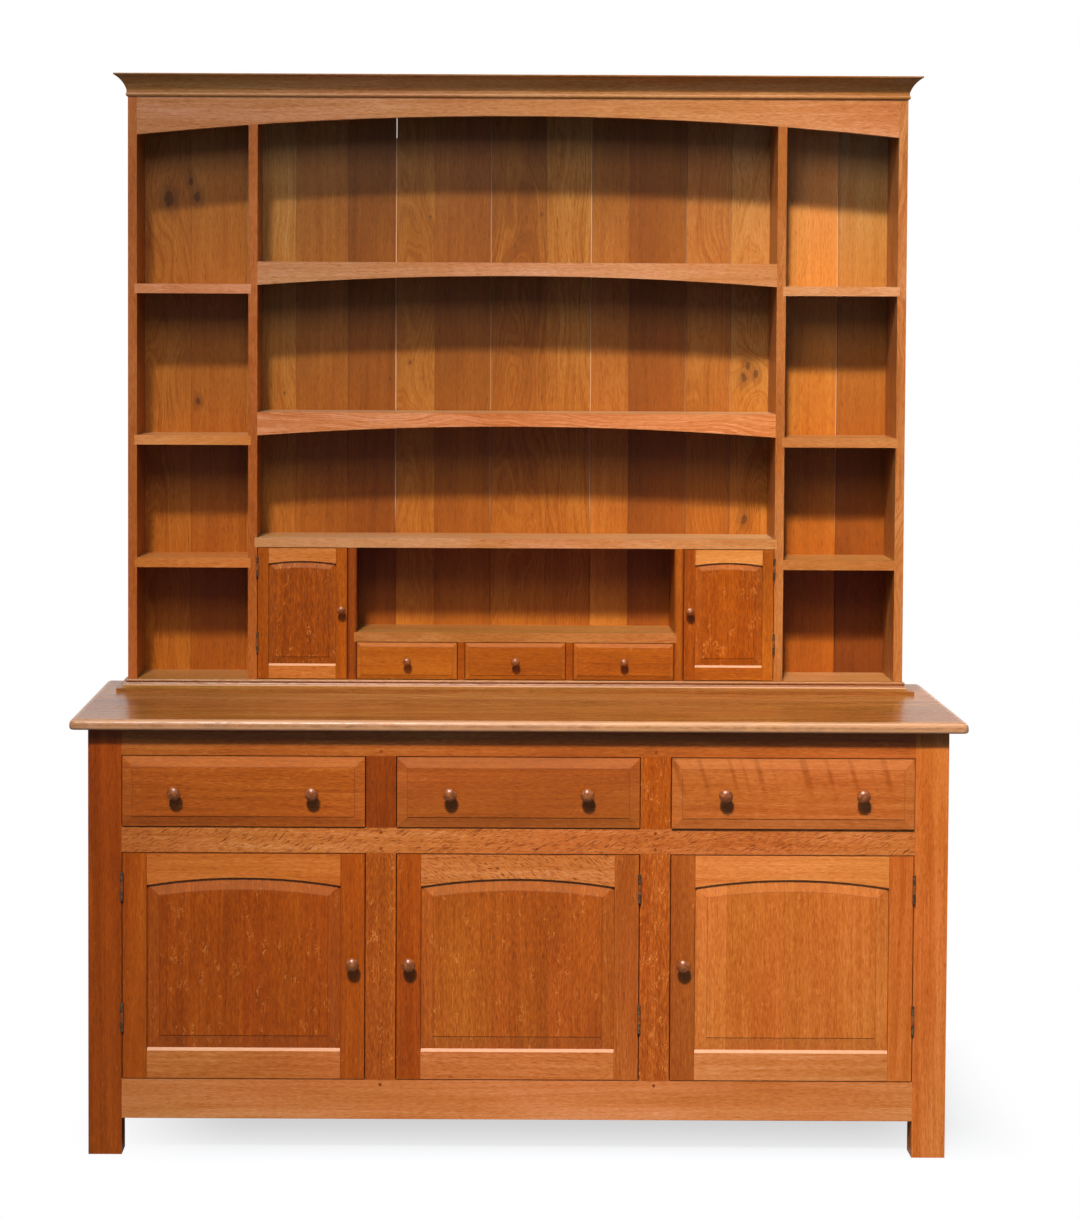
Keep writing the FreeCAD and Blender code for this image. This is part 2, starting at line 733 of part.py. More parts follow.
def small_drawers():
    """Saves the three small drawers and returns the dividers between them."""
    width = (pigeonhole_width - (small_drawer_count - 1) * divider_thickness) / small_drawer_count
    front = rack_face - small_drawer_front_proud
    field_front = front - small_drawer_bevel_rise - small_drawer_field_step
    dividers = []
    for index in range(small_drawer_count):
        left = -pigeonhole_half + index * (width + divider_thickness)
        front_board, box = drawer(left, left + width, rack_floor_top, pigeonhole_under, front,
                                  board_front - small_drawer_back_space, small_drawer_sizes)
        level = (rack_floor_top + pigeonhole_under) / 2
        name = "small_drawer_%d" % (index + 1)
        save(name, [front_board] + box)
        save(name + "_knob", [small_knob(left + width / 2, field_front, level)])
        if index > 0:
            dividers.append(block(left - divider_thickness, left, rack_face, board_front,
                                  rack_floor_top, pigeonhole_under))
    return dividers


def rack_back_boards():
    """Upright boards of many widths, each with a tongue in the groove of the next one."""
    span = 2 * rack_inner
    seams = [-rack_inner + share * span for share in rack_seam_shares]
    gaps = [open_seam_gap if index in open_seams else rack_board_gap for index in range(len(seams))]
    end = rack_inner + rebate_depth
    lefts = [-end] + [seam + gap / 2 for seam, gap in zip(seams, gaps)]
    rights = [seam - gap / 2 for seam, gap in zip(seams, gaps)] + [end]
    boards = [block(left, right, board_front, back, worktop_top, rack_side_top)
              for left, right in zip(lefts, rights)]
    tongue_front = board_front + (back_board_thickness - board_tongue_thickness) / 2
    tongue_depth = (tongue_front, tongue_front + board_tongue_thickness)
    for index in range(len(seams)):
        edge = rights[index]
        tongue_top = rack_side_top - broken_tongue_drop if index == broken_seam else rack_side_top
        tongue = block(edge, edge + board_tongue_length, *tongue_depth, worktop_top, tongue_top)
        edge = lefts[index + 1]
        groove = block(edge, edge + board_tongue_length, *tongue_depth, worktop_top, rack_side_top)
        boards[index] = joined(boards[index], [tongue])
        boards[index + 1] = trimmed(boards[index + 1], [groove])
    return boards


def cove(start, end, shares):
    """A hollow from an outer point down to an inner one, or the other way round."""
    out_low, out_high = sorted([-start.y, -end.y])
    low, high = sorted([start.z, end.z])
    middle = point(0, -(out_low + shares[0] * (out_high - out_low)), low + shares[1] * (high - low))
    return Part.Arc(start, middle, end).toShape()


def line(start, end):
    return Part.LineSegment(start, end).toShape()


def cornice_section():
    """The cornice's section, drawn with its back at Y = 0 and its projection towards the front."""
    lip_under = rack_top - cornice_lip
    cove_foot = lip_under - cornice_cove_height
    bead_top = cove_foot - cornice_fillet_height
    bead_foot = bead_top - cornice_bead_height
    corners = [point(0, 0, bead_foot), point(0, 0, rack_top), point(0, -cornice_projection, rack_top),
               point(0, -cornice_projection, lip_under)]
    cove_end = point(0, -cornice_fillet_projection, cove_foot)
    bead_start = point(0, -cornice_fillet_projection, bead_top)
    bead_middle = point(0, -cornice_bead_projection, bead_top - cornice_bead_height / 2)
    edges = [line(corners[0], corners[1]), line(corners[1], corners[2]), line(corners[2], corners[3]),
             cove(corners[3], cove_end, cove_middle_shares), line(cove_end, bead_start),
             Part.Arc(bead_start, bead_middle, corners[0]).toShape()]
    return Part.Face(Part.Wire(edges))


def foot_mould_section():
    """The section of the moulding round the foot of the rack, drawn in the same way."""
    bead_foot = rack_floor_top - foot_mould_bead
    cove_head = point(0, -(foot_mould_bead - foot_mould_quirk), bead_foot - foot_mould_quirk / 2)
    lip_top = worktop_top + foot_mould_lip
    cove_foot = point(0, -(foot_mould_projection - foot_mould_ledge), lip_top)
    corners = [point(0, 0, worktop_top), point(0, 0, rack_floor_top), point(0, -foot_mould_bead, bead_foot),
               point(0, -foot_mould_projection, lip_top), point(0, -foot_mould_projection, worktop_top)]
    bead_middle = point(0, -foot_mould_bead * math.sin(math.radians(45)),
                        bead_foot + foot_mould_bead * math.sin(math.radians(45)))
    edges = [line(corners[0], corners[1]), Part.Arc(corners[1], bead_middle, corners[2]).toShape(),
             line(corners[2], cove_head), cove(cove_head, cove_foot, foot_cove_middle_shares),
             line(cove_foot, corners[3]), line(corners[3], corners[4]), line(corners[4], corners[0])]
    return Part.Face(Part.Wire(edges))


def mitred_runs(section, projection, low, high):
    """A moulding along the rack's front and both ends, mitred at the two front corners."""
    outer = rack_half + projection
    outer_front = rack_face - projection

    def corner_prism(points):
        return prism([point(x, y, low - overrun) for x, y in points], point(0, 0, high - low + 2 * overrun))

    front_run = section.copy()
    front_run.translate(point(-outer, rack_face, 0))
    front_run = front_run.extrude(point(2 * outer, 0, 0))
    front_run = front_run.common(corner_prism([(-outer, outer_front), (outer, outer_front),
                                               (rack_half, rack_face), (-rack_half, rack_face)])).Solids[0]
    end_run = section.copy()
    end_run.rotate(point(0, 0, 0), point(0, 0, 1), 90)
    end_run.translate(point(rack_half, outer_front, 0))
    end_run = end_run.extrude(point(0, back - outer_front, 0))
    end_run = end_run.common(corner_prism([(outer, outer_front), (outer, back),
                                           (rack_half, back), (rack_half, rack_face)])).Solids[0]
    return [front_run] + mirrored([end_run]) + [end_run]


def save_base():
    """The base with its worktop, doors and drawers."""
    posts = legs()
    end_rails, end_panels = end_frame()
    rear_rails = back_rails()
    floor_board, partitions, shelves, bearers, runners = base_inside(posts, rear_rails)
    rails = [rail(top_rail_bottom, base_height), rail(middle_rail_bottom, middle_rail_top),
             rail(foot_clearance, bottom_rail_top)]
    muntins = [muntin(left, middle_rail_top, top_rail_bottom) for left in muntin_lefts]
    muntins += [muntin(left, bottom_rail_top, middle_rail_bottom) for left in muntin_lefts]
    holes = pegs(peg_radius + peg_clearance, face - peg_proud)
    frame_leaves, pins = base_doors()
    posts = [trimmed(post, rails + end_rails + end_panels + frame_leaves) for post in posts]
    rails = [trimmed(piece, muntins + holes) for piece in rails]
    muntins = [trimmed(piece, holes + frame_leaves) for piece in muntins]
    save("worktop", [worktop()])
    save("base_legs", posts)
    for name, piece in zip(["top_rail", "middle_rail", "bottom_rail"], rails):
        save(name, [piece])
    save("muntins", muntins)
    save("frame_pegs", pegs(peg_radius, face - peg_proud))
    save("end_rails", end_rails)
    save("end_panels", end_panels)
    save("back_rails", rear_rails)
    save("base_back_boards", base_back_boards())
    save("base_floor", [floor_board])
    save("cupboard_partitions", partitions)
    save("cupboard_shelves", shelves)
    save("shelf_bearers", bearers)
    save("drawer_runners", runners)
    base_drawers()
    return frame_leaves, pins


def save_rack():
    """The rack's carcass, shelves, mouldings, doors and drawers."""
    shelf_depth = (rack_face, board_front)
    side_shelves = [block(partition_outer - housing_depth, rack_inner + housing_depth, *shelf_depth,
                          worktop_top + height - shelf_thickness, worktop_top + height)
                    for height in side_shelf_heights]
    side_shelves += mirrored(side_shelves)
    housed_half = centre_half + housing_depth
    centre_tops = [worktop_top + height for height in centre_shelf_heights]
    centre_shelves = [block(-housed_half, housed_half, rack_face + apron_thickness, board_front,
                            top - shelf_thickness, top) for top in centre_tops]
    aprons = [arched_board(centre_half, rack_face, rack_face + apron_thickness, top,
                           top - apron_crown_height, apron_arch_rise) for top in centre_tops]
    cupboard_top = block(-housed_half, housed_half, *shelf_depth, cupboard_top_under,
                         cupboard_top_under + shelf_thickness)
    pigeonhole_shelf = block(-pigeonhole_half - housing_depth, pigeonhole_half + housing_depth, *shelf_depth,
                             pigeonhole_under, pigeonhole_under + shelf_thickness)
    upright = block(pigeonhole_half, upright_outer, *shelf_depth, rack_floor_top, cupboard_top_under)
    uprights = [trimmed(piece, [pigeonhole_shelf]) for piece in mirrored([upright]) + [upright]]
    housed_end = rack_inner + housing_depth
    floor_board = block(-housed_end, housed_end, *shelf_depth, worktop_top, rack_floor_top)
    top_board = block(-housed_end, housed_end, rack_face + frieze_thickness, board_front,
                      rack_side_top - rack_board_thickness, rack_side_top)
    frieze = arched_board(rack_inner, rack_face, rack_face + frieze_thickness, rack_side_top,
                          rack_top - frieze_crown_drop, frieze_arch_rise)
    boards = rack_back_boards()
    frame_leaves, pins = small_doors()
    side = block(rack_inner, rack_half, rack_face, back, worktop_top, rack_side_top)
    rebate = block(-rack_inner - rebate_depth, rack_inner + rebate_depth, board_front, back + overrun,
                   worktop_top - overrun, rack_side_top + overrun)
    sides = [trimmed(piece, side_shelves + [floor_board, top_board, rebate])
             for piece in mirrored([side]) + [side]]
    partition = block(centre_half, partition_outer, *shelf_depth, rack_floor_top,
                      rack_side_top - rack_board_thickness)
    housed = side_shelves + centre_shelves + [cupboard_top, frieze] + frame_leaves
    partitions = [trimmed(piece, housed) for piece in mirrored([partition]) + [partition]]
    cornice_low = rack_top - cornice_lip - cornice_cove_height - cornice_fillet_height - cornice_bead_height
    save("rack_sides", sides)
    save("rack_partitions", partitions)
    save("rack_top", [top_board])
    save("rack_floor", [floor_board])
    save("frieze", [frieze])
    save("cornice", mitred_runs(cornice_section(), cornice_projection, cornice_low, rack_top))
    save("rack_foot_moulding", mitred_runs(foot_mould_section(), foot_mould_projection,
                                           worktop_top, rack_floor_top))
    save("rack_back_boards", boards)
    save("side_shelves", side_shelves)
    save("centre_shelves", centre_shelves + [cupboard_top])
    save("arched_shelf_rails", aprons)
    save("uprights", uprights)
    save("pigeonhole_shelf", [pigeonhole_shelf])
    save("small_drawer_dividers", small_drawers())
    return frame_leaves, pins


base_leaves, base_pins = save_base()
rack_leaves, rack_pins = save_rack()
save("hinge_frame_leaves", base_leaves + rack_leaves)
save("hinge_pins", base_pins + rack_pins)
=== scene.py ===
import math
import random

import bpy
import numpy as np
from mathutils import Matrix, Vector

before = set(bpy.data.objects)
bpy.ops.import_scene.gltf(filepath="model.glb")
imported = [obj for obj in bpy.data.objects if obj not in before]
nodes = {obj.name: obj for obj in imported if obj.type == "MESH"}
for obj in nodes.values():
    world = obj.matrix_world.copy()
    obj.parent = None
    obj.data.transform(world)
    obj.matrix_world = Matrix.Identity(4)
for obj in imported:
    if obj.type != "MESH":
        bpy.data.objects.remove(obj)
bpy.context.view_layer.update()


# The look of each piece of wood. A piece takes the first entry of a table whose words are in its name, and
# a list gives the solids of the node in turn.

# The tones of wood in even steps along the colours of oak, from the darkest to the palest.
TONE_NAMES = (
    "darkest", "gloomy", "deep", "dark", "low", "middle", "light", "pale", "bright", "brightest",
)
FIRST_TONE = 0.26
TONE_STEP = 0.06
# The kinds of wood. The first number is the hue, where 0 is olive and 1 is red. The second is the greying,
# where 0 is none and 1 is greyish. Both can lie beyond these. Much of the greying of the rack's shelves,
# rails, frieze, cornice and foot moulding and of the worktop is a painted sheen of cool light.
WOODS = {
    "russet": (0.5, -0.4), "orange": (0.6, 0.0), "rosy": (0.7, 0.4), "dusty": (0.6, 1.0),
    "grey": (0.6, 1.5), "olive": (-0.4, -0.6), "khaki": (-0.4, 0.3), "amber": (0.0, -0.3),
    "honey": (0.4, 0.1), "tan": (-0.2, 1.0), "brown": (0.4, 1.2),
}
# The tone of each piece and its kind of wood.
LOOKS = [
    ("base_legs", ["dark russet", "dark orange", "light orange", "low orange"]),
    ("top_rail", "low rosy"),
    ("middle_rail", "light rosy"),
    ("bottom_rail", "pale rosy"),
    ("muntins", ["gloomy russet", "dark russet", "low orange", "low orange"]),
    ("door_1_frame", ["dark russet", "dark russet", "middle orange", "light rosy"]),
    ("door_2_frame", ["dark russet", "low rosy", "light rosy", "light rosy"]),
    ("door_3_frame", ["low rosy", "light orange", "pale orange", "pale rosy"]),
    ("door_1_panel", "dark russet"),
    ("door_2_panel", "low orange"),
    ("door_3_panel", "light orange"),
    ("drawer_1_front", "low orange"),
    ("drawer_2_front", "low rosy"),
    ("drawer_3_front", "middle rosy"),
    ("worktop", "low grey"),
    ("frame_pegs", "deep orange"),
    ("end_panels", "low orange"),
    ("end_rails", "low orange"),
    ("frieze", "pale dusty"),
    ("cornice", "middle grey"),
    ("arched_shelf_rails", ["bright rosy", "pale dusty"]),
    ("centre_shelves", "pale dusty"),
    ("side_shelves", ["middle dusty", "light dusty", "bright dusty",
                      "pale orange", "bright orange", "bright rosy"]),
    ("pigeonhole_shelf", "middle dusty"),
    ("rack_floor", "light dusty"),
    ("rack_foot_moulding", "dark grey"),
    ("rack_sides", ["middle rosy", "light dusty"]),
    ("rack_partitions", ["middle rosy", "middle dusty"]),
    ("uprights", ["deep olive", "low amber"]),
    ("small_drawer_dividers", "dark olive"),
    ("small_drawer", ["low amber"] + ["light orange"] * 4),
    ("small_door_left", ["low olive", "low olive", "pale honey", "light honey", "deep olive"]),
    ("small_door_right", ["deep olive", "low amber", "bright honey", "low amber", "dark olive"]),
    ("", "light orange"),
]
# The back boards of the rack from left to right: the look at the head, the tone at the foot, and how much
# of the pale tongue shows at the right edge. The wood changes evenly to amber at the foot. This change is
# partly painted light: the greyer heads paint the cooler light high in the rack, and the darker feet, most
# of all on the right-hand boards, paint the light falling off downwards.
BACK_BOARDS = [
    ("light khaki", "light", 0.0), ("light khaki", "low", 0.0), ("light tan", "middle", 0.0),
    ("middle brown", "dark", 0.0), ("dark tan", "dark", 1.0), ("middle tan", "light", 0.0),
    ("dark brown", "low", 0.4), ("dark tan", "light", 0.0), ("light tan", "low", 0.7),
    ("dark brown", "light", 0.0), ("dark brown", "dark", 0.25), ("light brown", "low", 0.2),
    ("bright brown", "middle", 0.0), ("brightest honey", "dark", 0.6), ("bright brown", "darkest", 0.0),
]
# Width of the tongue on the right edge of all the back boards but the last, in metres.
TONGUE = 0.005
# How dark the painted shade of the gaps is along the long edges of a piece. A piece with a raised field
# has it at the ends too.
GAP_SHADE = [
    ("small_drawer_dividers", 0.4), ("rack", 0.0), ("end_", 0.0), ("arched", 0.0), ("drawer", 0.65),
    ("door", 0.6), ("muntins", 0.45), ("rail", 0.35), ("uprights", 0.5), ("", 0.0),
]
# How far the grain runs aslant of the plank.
ASLANT = [
    ("middle_rail", -0.42), ("door_2_frame", [0.0, 0.0, 0.5, 0.1]), ("arched_shelf_rails", 0.05),
    ("", 0.0),
]
# Where a raised field meets its bevel, counted through the plank from its middle to the back, in metres.
# No plank reaches as far back as the value for no field.
NO_FIELD = 9.0
FIELDS = [
    ("door_1_panel", -0.0042), ("door_2_panel", -0.0042), ("door_3_panel", -0.0042),
    ("small_drawer_dividers", NO_FIELD), ("small_drawer", [-0.0077] + [NO_FIELD] * 4),
    ("_front", -0.0111), ("small_door", [NO_FIELD] * 4 + [-0.0034]), ("", NO_FIELD),
]
# How many ray flecks a piece shows, from 0 to 1.
RAYS = [
    ("muntins", [0.1, 0.75, 0.6, 0.75]), ("door_1_panel", 0.42), ("panel", 0.5),
    ("small_door", [0.3, 0.3, 0.2, 0.3, 0.6]), ("drawer_", 0.2), ("middle_rail", 0.3), ("top_rail", 0.2),
    ("door_", 0.15), ("rack_back_boards", 0.05), ("arched_shelf_rails", 0.05), ("", 0.1),
]
# Width of the boards that are glued up side by side in one piece, in metres. The last width is more than
# any piece has.
ONE_BOARD = 20.0
GLUED = [
    ("panel", 0.105), ("worktop", 0.165), ("base_floor", 0.14), ("cupboard_", 0.13), ("", ONE_BOARD),
]
# The solids that are flat-sawn and show arched figure. All others are quarter-sawn and straight.
FLAT_SAWN = {
    "rack_back_boards": (0, 2, 5, 7, 8, 11, 12), "arched_shelf_rails": (0,), "end_panels": (0, 1),
    "worktop": (0,), "base_back_boards": (1, 4, 6, 9, 12), "rack_sides": (1,),
}
# Pieces whose grain runs upright, whichever side is the longest.
UPRIGHT_GRAIN = ("door_1_panel", "door_2_panel", "door_3_panel")
# Where the pith of the tree lies, counted from the middle of the plank, in metres: far off to one side of
# a quarter-sawn plank, and near to one face of a flat-sawn one.
PITH_NEAR = 0.03
FLAT_SAWN_PITH = (0.035, 0.06)
QUARTER_SAWN_PITH = (0.16, 0.3)
# How far apart the planks lie in the noise that gives them their figure, in metres, and the range of the
# seeds that tell their growth rings apart.
GRAIN_SPREAD = 40
SEEDS = 30
PLANK_VALUES = ("at", "grain", "half", "ring", "look", "glue", "finish")
# The axes from left to right and upwards.
X = 0
Z = 2


def pick(table, name, index):
    """The first value whose words are in the node's name, and from a list the solid's own one."""
    value = next(entry for words, entry in table if words in name)
    return value[index % len(value)] if isinstance(value, list) else value


def look_of(words):
    """The tone, hue and fading of a look such as light orange."""
    tone, wood = words.split()
    return np.array((FIRST_TONE + TONE_STEP * TONE_NAMES.index(tone), *WOODS[wood]))


def solids_of(mesh):
    """For every vertex, which closed solid of the node it belongs to. The solids come one after another,
    and vertices at one place count as one."""
    places = [tuple(round(x, 6) for x in vertex.co) for vertex in mesh.vertices]
    numbers = {}
    at = [numbers.setdefault(place, len(numbers)) for place in places]
    solid = np.zeros(len(mesh.vertices), int)
    open_edges = set()
    count = 0
    for face in mesh.polygons:
        corners = [at[i] for i in face.vertices]
        for edge in zip(corners, corners[1:] + corners[:1]):
            if edge[::-1] in open_edges:
                open_edges.discard(edge[::-1])
            else:
                open_edges.add(edge)
        solid[list(face.vertices)] = count
        if not open_edges:
            count += 1
    return solid


def pith_of(flat_sawn, chance):
    """Where the pith of the tree lies from the middle of the plank, across it and through it."""
    if flat_sawn:
        across = chance.uniform(-PITH_NEAR, PITH_NEAR)
        through = chance.choice((-1, 1)) * chance.uniform(*FLAT_SAWN_PITH)
    else:
        across = chance.choice((-1, 1)) * chance.uniform(*QUARTER_SAWN_PITH)
        through = chance.uniform(-PITH_NEAR, PITH_NEAR)
    return across, through


def plank(name, index, points, is_last):
    """What the wood's material reads about one solid of a node, once or for each point. The axes of a
    plank run along its grain, across it and through it."""
    lowest, highest = points.min(0), points.max(0)
    if name == "rack_back_boards":
        head_look, foot_tone, dirt = BACK_BOARDS[index]
        head, foot = look_of(head_look), look_of(foot_tone + " amber")
        if not is_last:
            highest[X] -= TONGUE
    else:
        head = foot = look_of(pick(LOOKS, name, index))
        dirt = pick(GAP_SHADE, name, index)
    axes = [int(i) for i in np.argsort(lowest - highest)]
    if name in UPRIGHT_GRAIN:
        axes = [Z] + [i for i in axes if i != Z]
    at = (points - (lowest + highest) / 2)[:, axes]

    chance = random.Random(name + str(index))
    grain = at + [chance.uniform(-GRAIN_SPREAD, GRAIN_SPREAD) for _ in range(3)]
    pith = pith_of(index in FLAT_SAWN.get(name, ()), chance)
    seed = chance.uniform(0, SEEDS)
    first_board = chance.uniform(0, 1)

    # On the back boards the change from foot to head is partly painted light: greyer high up, darker low
    # down.
    share_of_height = (points[:, Z:] - lowest[Z]) / (highest[Z] - lowest[Z])
    tone, hue, fading = (foot + share_of_height * (head - foot)).T
    everywhere = np.ones(len(points))
    return {
        "at": at,
        "grain": grain,
        "half": ((highest - lowest) / 2)[axes],
        "ring": (*pith, seed),
        "look": np.column_stack((tone, hue, everywhere * pick(RAYS, name, index))),
        "glue": (pick(GLUED, name, index), first_board, pick(ASLANT, name, index)),
        "finish": np.column_stack((everywhere * pick(FIELDS, name, index), fading, everywhere * dirt)),
    }


def describe_planks(name, mesh):
    """Writes the place and the look of each plank on the mesh, where the wood's material reads them."""
    points = np.array([vertex.co for vertex in mesh.vertices], float)
    solid = solids_of(mesh)
    values = {key: np.zeros_like(points) for key in PLANK_VALUES}
    for index in range(solid.max() + 1):
        mine = solid == index
        for key, value in plank(name, index, points[mine], index == solid.max()).items():
            values[key][mine] = value
    for key in PLANK_VALUES:
        layer = mesh.attributes.new("plank_" + key, "FLOAT_VECTOR", "POINT")
        layer.data.foreach_set("vector", values[key].astype(np.float32).ravel())


# Shaders

def srgb(red, green, blue):
    """A colour as a screen shows it, from 0 to 255, as the numbers that a shader takes."""
    def linear(value):
        share = value / 255
        return share / 12.92 if share <= 0.04045 else ((share + 0.055) / 1.055) ** 2.4
    return (linear(red), linear(green), linear(blue), 1)


class Value:
    """A number that a shader works out at every point. Sums and products of it add the nodes for them."""

    def __init__(self, shader, socket):
        self.shader = shader
        self.socket = socket

    def __add__(self, other):
        return self.shader.math("ADD", self, other)

    def __sub__(self, other):
        return self.shader.math("SUBTRACT", self, other)

    def __mul__(self, other):
        return self.shader.math("MULTIPLY", self, other)

    def __truediv__(self, other):
        return self.shader.math("DIVIDE", self, other)

    def __abs__(self):
        return self.shader.math("ABSOLUTE", self)


class Shader:
    """Short names for the nodes of one material or world."""

    def __init__(self, owner):
        self.owner = owner
        owner.use_nodes = True
        self.tree = owner.node_tree
        self.tree.nodes.clear()

    def put(self, socket, value):
        """Sets a socket to a number or colour, or links it to what a node gives."""
        if isinstance(value, Value):
            value = value.socket
        if isinstance(value, bpy.types.NodeSocket):
            self.tree.links.new(value, socket)
        else:
            socket.default_value = value

    def add(self, kind, inputs, **settings):
        node = self.tree.nodes.new(kind)
        for key, value in settings.items():
            setattr(node, key, value)
        for key, value in inputs.items():
            self.put(node.inputs[key], value)
        return node

    def math(self, operation, *values):
        node = self.add("ShaderNodeMath", dict(enumerate(values)), operation=operation)
        return Value(self, node.outputs[0])

    def smallest(self, first, *others):
        for other in others:
            first = self.math("MINIMUM", first, other)
        return first

    def largest(self, first, *others):
        for other in others:
            first = self.math("MAXIMUM", first, other)
        return first

    def distance(self, x, y):
        return self.math("SQRT", x * x + y * y)

    def smooth(self, value, start, end, low=0.0, high=1.0):
        """Goes smoothly from low to high while the value goes from start to end."""
        node = self.add("ShaderNodeMapRange", {0: value, 1: start, 2: end, 3: low, 4: high},
                        interpolation_type="SMOOTHSTEP")
        return Value(self, node.outputs[0])

    def vector(self, operation, *values):
        node = self.add("ShaderNodeVectorMath", dict(enumerate(values)), operation=operation)
        return node.outputs[0]

    def split(self, vector):
        node = self.add("ShaderNodeSeparateXYZ", {0: vector})
        return [Value(self, socket) for socket in node.outputs[:3]]

    def join(self, x, y, z):
        return self.add("ShaderNodeCombineXYZ", {0: x, 1: y, 2: z}).outputs[0]

    def attribute(self, name):
        return self.add("ShaderNodeAttribute", {}, attribute_name=name).outputs["Vector"]

    def coordinates(self, kind):
        return self.add("ShaderNodeTexCoord", {}).outputs[kind]

    def noise(self, place, scale=1.0, detail=2.0, roughness=0.5, distortion=0.0):
        """Noise from 0 to 1. The scale is one number, or one for each axis."""
        if isinstance(scale, tuple):
            place = self.vector("MULTIPLY", place, scale)
            scale = 1.0
        node = self.add("ShaderNodeTexNoise", {"Vector": place, "Scale": scale, "Detail": detail,
                                               "Roughness": roughness, "Distortion": distortion})
        return Value(self, node.outputs[0])

    def chance(self, x, y):
        """A number from 0 to 1 that has nothing to do with those of its neighbours."""
        node = self.add("ShaderNodeTexWhiteNoise", {"Vector": self.join(x, y, 0.0)})
        return Value(self, node.outputs[0])

    def ramp(self, value, stops):
        node = self.add("ShaderNodeValToRGB", {0: value})
        elements = node.color_ramp.elements
        while len(elements) < len(stops):
            elements.new(0.5)
        for element, (position, colour) in zip(elements, stops):
            element.position = position
            element.color = colour
        return node.outputs[0]

    def mix(self, share, first, second, blend="MIX", clamp=True):
        """Two colours, with this share of the second."""
        node = self.add("ShaderNodeMix", {}, data_type="RGBA", blend_type=blend, clamp_factor=clamp)
        # The node has sockets for other kinds of value too. These are the ones for colours.
        for index, value in ((0, share), (6, first), (7, second)):
            self.put(node.inputs[index], value)
        return node.outputs[2]

    def multiply(self, colour, other):
        return self.mix(1.0, colour, other, "MULTIPLY")

    def bump(self, height, strength, distance):
        node = self.add("ShaderNodeBump", {"Height": height, "Strength": strength, "Distance": distance})
        return node.outputs[0]

    def show(self, surface, kind="ShaderNodeOutputMaterial"):
        """Ends the shader. Returns the material or world that it belongs to."""
        self.add(kind, {"Surface": surface})
        return self.owner


def swing(noise, amount):
    """A noise from 0 to 1 as a change by up to this amount, either way."""
    return (noise - 0.5) * (2 * amount)


# Oak

# The colours of oak from its darkest to its palest tone.
OAK = [
    (0.00, srgb(48, 18, 3)), (0.22, srgb(102, 42, 5)), (0.40, srgb(146, 65, 9)),
    (0.52, srgb(172, 83, 18)), (0.64, srgb(195, 106, 36)), (0.76, srgb(214, 130, 61)),
    (0.88, srgb(228, 156, 92)), (1.00, srgb(240, 186, 134)),
]
# What that colour is multiplied by, for its hue and for its greying, which is partly a painted sheen.
OLIVE_TINT = (0.94, 1.12, 0.88, 1)
RED_TINT = (1.06, 0.89, 1.08, 1)
NO_TINT = (1.0, 1.0, 1.0, 1)
GREYING_TINT = (0.88, 1.22, 2.3, 1)
FLECK_COLOUR = srgb(238, 148, 68)
KNOT_COLOUR = srgb(60, 30, 14)
BARE_WOOD_AND_HIGHLIGHT = srgb(232, 178, 132)
BEVEL_HIGHLIGHT = srgb(222, 144, 80)
CHAMFER_HIGHLIGHT = srgb(240, 192, 152)
FIELD_STEP_SHADE = srgb(96, 42, 12)
PALE_TONGUE = srgb(236, 186, 140)
GAP_SHADE_COLOUR = srgb(84, 22, 2)
# Each pattern of the wood: how often it changes in a metre along the grain, across it and through the
# plank, and how much detail its noise has.
PATTERNS = {
    "wander": ((1.7, 5.0, 5.0), 2.0),
    "swirl": ((5.0, 15.0, 15.0), 1.0),
    "blotches": ((2.6, 11.0, 11.0), 3.0),
    "wave": ((16.0, 30.0, 30.0), 1.0),
    "specks": ((80.0, 400.0, 400.0), 1.0),
    "warp": ((22.0, 60.0, 60.0), 1.0),
    "clusters": ((30.0, 60.0, 60.0), 2.0),
    "ripple": ((60.0, 230.0, 230.0), 2.0),
    "hue": ((1.4, 6.0, 6.0), 2.0),
    "knot_edge": (90.0, 3.0),
    "edge_raggedness": (60.0, 3.0),
}
PORES_SCALE = (50.0, 760.0, 760.0)
FLECKS_SCALE = (72.0, 170.0, 170.0)
# The patterns that follow the growth rings: how often they change in a metre of the tree's radius, and in
# a metre along the grain.
STREAKS_SCALE = (75.0, 1.1)
LINES_SCALE = (560.0, 5.0)
RINGS_SCALE = (230.0, 2.5)
# How much paler or darker each pattern makes the wood, as a share of the colours of oak. Specks have one
# value everywhere, and one that is added where the wood shows its ray flecks.
STREAKS_DEPTH = 0.15
LINES_DEPTH = 0.08
RINGS_DEPTH = 0.13
BLOTCHES_DEPTH = 0.13
BOARDS_DEPTH = 0.035
RIPPLE_DEPTH = 0.05
CURL_DEPTH = 0.11
SPECKS_DEPTH = 0.16
SPECKS_DEPTH_IN_RAYS = 0.36
# The back boards are calmer than the other wood by this share.
CALM_BOARDS = 0.65
# How far the hue changes within a piece, on the scale of the kinds of wood.
HUE_SWING = 0.45
# The figure is arched where the pith lies nearer across the plank than the first distance, in metres, and
# straight where it lies further than the second one.
ARCHED_PITH = (0.05, 0.12)
# The bends of the growth rings, in metres: some everywhere, and more where the figure is arched.
WANDER = 0.034
WANDER_IF_ARCHED = 0.05
SWIRL_IF_ARCHED = 0.05
# How much the tree's radius grows with each metre along the grain.
TAPER = 0.016
TAPER_IF_ARCHED = 0.02
# How far apart glued-up boards lie in the tree, and in the noise along and across the grain, in metres.
BOARDS_IN_TREE = 0.08
BOARDS_ALONG = 9.0
BOARDS_ACROSS = 5.0
# The width of a dark ring and of a ray fleck, as shares of the range of their noise.
RING_WIDTH = 0.09
FLECK_WIDTH = 0.05
# Pores show between these values of their noise.
PORES_EDGE = (0.57, 0.73)
PORES_DEPTH = 0.13
